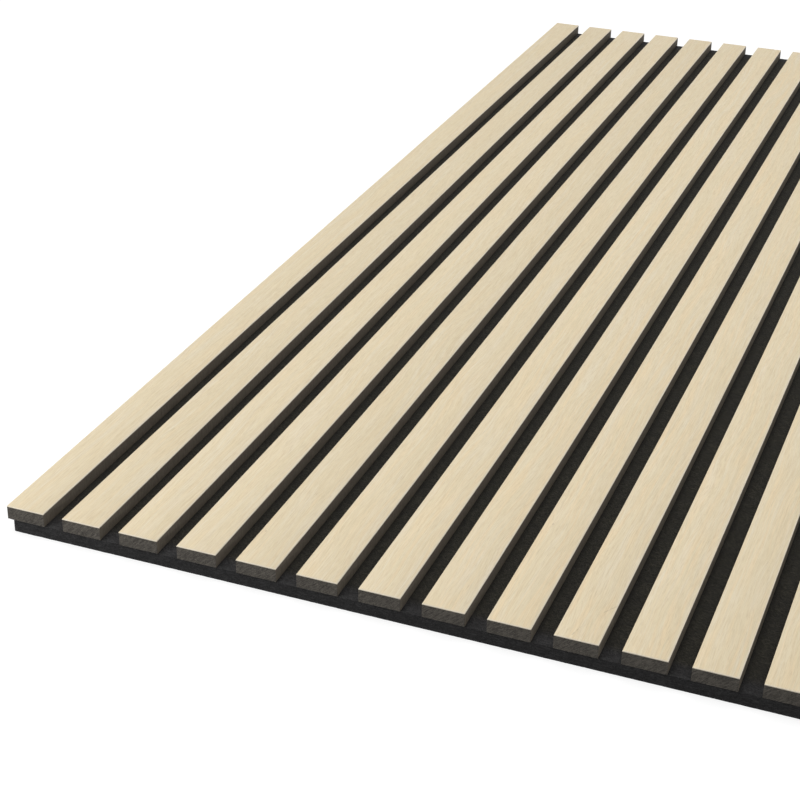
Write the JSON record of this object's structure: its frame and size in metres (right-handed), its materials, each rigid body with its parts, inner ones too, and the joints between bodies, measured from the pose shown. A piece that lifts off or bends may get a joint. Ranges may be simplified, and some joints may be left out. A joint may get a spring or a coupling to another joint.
{
  "type": "acoustic slat wall panel",
  "caption": "Felt-backed wall panel of parallel oak-veneered black fibreboard slats, which damps sound and covers a wall or ceiling.",
  "frame": {"origin": "middle of the panel's outline, on the back face that lies against the wall", "axes": "+X across the slats, from the side where the first slat covers the joint to the side where the felt stands out; +Y along the slats; +Z out of the wall"},
  "size_m": [0.604, 1.2, 0.018],
  "materials": {
    "acoustic_felt": "matt needled felt, charcoal",
    "black_fibreboard": "sawn black fibreboard, matt",
    "oak_veneer": "pale oak veneer, matt lacquer",
    "staple_wire": "galvanised wire"
  },
  "bodies": {
    "root": {"felt_backing": "acoustic_felt", "slat_core_01": "black_fibreboard", "slat_core_02": "black_fibreboard", "slat_core_03": "black_fibreboard", "slat_core_04": "black_fibreboard", "slat_core_05": "black_fibreboard", "slat_core_06": "black_fibreboard", "slat_core_07": "black_fibreboard", "slat_core_08": "black_fibreboard", "slat_core_09": "black_fibreboard", "slat_core_10": "black_fibreboard", "slat_core_11": "black_fibreboard", "slat_core_12": "black_fibreboard", "slat_core_13": "black_fibreboard", "slat_core_14": "black_fibreboard", "slat_core_15": "black_fibreboard", "face_veneer_01": "oak_veneer", "face_veneer_02": "oak_veneer", "face_veneer_03": "oak_veneer", "face_veneer_04": "oak_veneer", "face_veneer_05": "oak_veneer", "face_veneer_06": "oak_veneer", "face_veneer_07": "oak_veneer", "face_veneer_08": "oak_veneer", "face_veneer_09": "oak_veneer", "face_veneer_10": "oak_veneer", "face_veneer_11": "oak_veneer", "face_veneer_12": "oak_veneer", "face_veneer_13": "oak_veneer", "face_veneer_14": "oak_veneer", "face_veneer_15": "oak_veneer", "staples": "staple_wire"}
  },
  "joints": []
}
